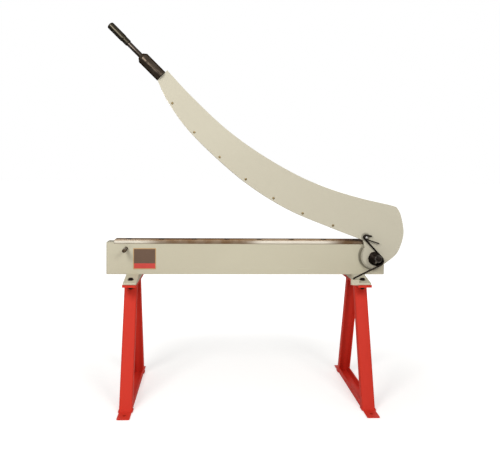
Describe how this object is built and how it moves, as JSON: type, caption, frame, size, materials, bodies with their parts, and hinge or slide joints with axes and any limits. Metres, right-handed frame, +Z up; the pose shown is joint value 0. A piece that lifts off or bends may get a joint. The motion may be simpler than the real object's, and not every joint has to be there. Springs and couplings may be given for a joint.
{
  "type": "guillotine shear",
  "caption": "Floor-standing guillotine shear: curved blade arm with long handle on a sprung pivot, flat lower blade on a ribbed cast bed, two trestle stands.",
  "frame": {"origin": "on the floor, below the middle of the shear's length and of its two stands", "axes": "+X along the bed towards the pivot, +Y away from the operator's side, +Z up"},
  "size_m": [1.2226, 0.613, 1.5258],
  "materials": {
    "bed_enamel": "cream enamel on a casting",
    "arm_enamel": "cream enamel on steel plate",
    "stand_enamel": "red enamel on folded sheet",
    "blade_steel": "ground tool steel with a film of oil",
    "black_steel": "black oxide with oil",
    "plain_steel": "plain washer steel",
    "screw_brass": "yellow passivated screw heads",
    "bronze": "dull bronze"
  },
  "bodies": {
    "stand": {"base_casting": "bed_enamel", "lower_blade": "blade_steel", "lower_blade_screw_1": "black_steel", "lower_blade_screw_2": "black_steel", "lower_blade_screw_3": "black_steel", "lower_blade_screw_4": "black_steel", "lower_blade_screw_5": "black_steel", "lower_blade_screw_6": "black_steel", "lower_blade_screw_7": "black_steel", "lower_blade_screw_8": "black_steel", "pivot_pin": "black_steel", "pivot_thrust_washer": "plain_steel", "pivot_lock_nut": "black_steel", "pivot_front_washer": "black_steel", "pivot_front_nut": "black_steel", "pivot_rear_washer": "plain_steel", "pivot_rear_nut": "black_steel", "torsion_spring": "black_steel", "stop_pin": "bronze", "left_top_plate": "stand_enamel", "left_front_leg": "stand_enamel", "left_rear_leg": "stand_enamel", "left_floor_bar": "stand_enamel", "left_front_foot_bolt": "black_steel", "left_front_foot_nut": "black_steel", "left_rear_foot_bolt": "black_steel", "left_rear_foot_nut": "black_steel", "right_top_plate": "stand_enamel", "right_front_leg": "stand_enamel", "right_rear_leg": "stand_enamel", "right_floor_bar": "stand_enamel", "right_front_foot_bolt": "black_steel", "right_front_foot_nut": "black_steel", "right_rear_foot_bolt": "black_steel", "right_rear_foot_nut": "black_steel"},
    "arm": {"arm_plate": "arm_enamel", "upper_blade": "blade_steel", "upper_blade_screw_1": "screw_brass", "upper_blade_screw_2": "screw_brass", "upper_blade_screw_3": "screw_brass", "upper_blade_screw_4": "screw_brass", "upper_blade_screw_5": "screw_brass", "upper_blade_screw_6": "screw_brass", "upper_blade_screw_7": "screw_brass", "handle_socket": "black_steel", "handle_rod": "black_steel", "handle_grip": "black_steel", "set_screw_1": "black_steel", "set_screw_2": "black_steel", "pivot_bush": "bronze", "spring_post": "black_steel", "spring_keeper": "black_steel"}
  },
  "joints": [
    {"name": "arm_pivot", "type": "hinge", "parent": "stand", "child": "arm", "pos_m": [0.48817, -0.0816, 0.584], "axis": [0, -1, 0], "range_deg": [0, 33.5], "stiffness_Nm_per_rad": 60, "springref_deg": -97.4, "deforming": ["torsion_spring"]}
  ]
}
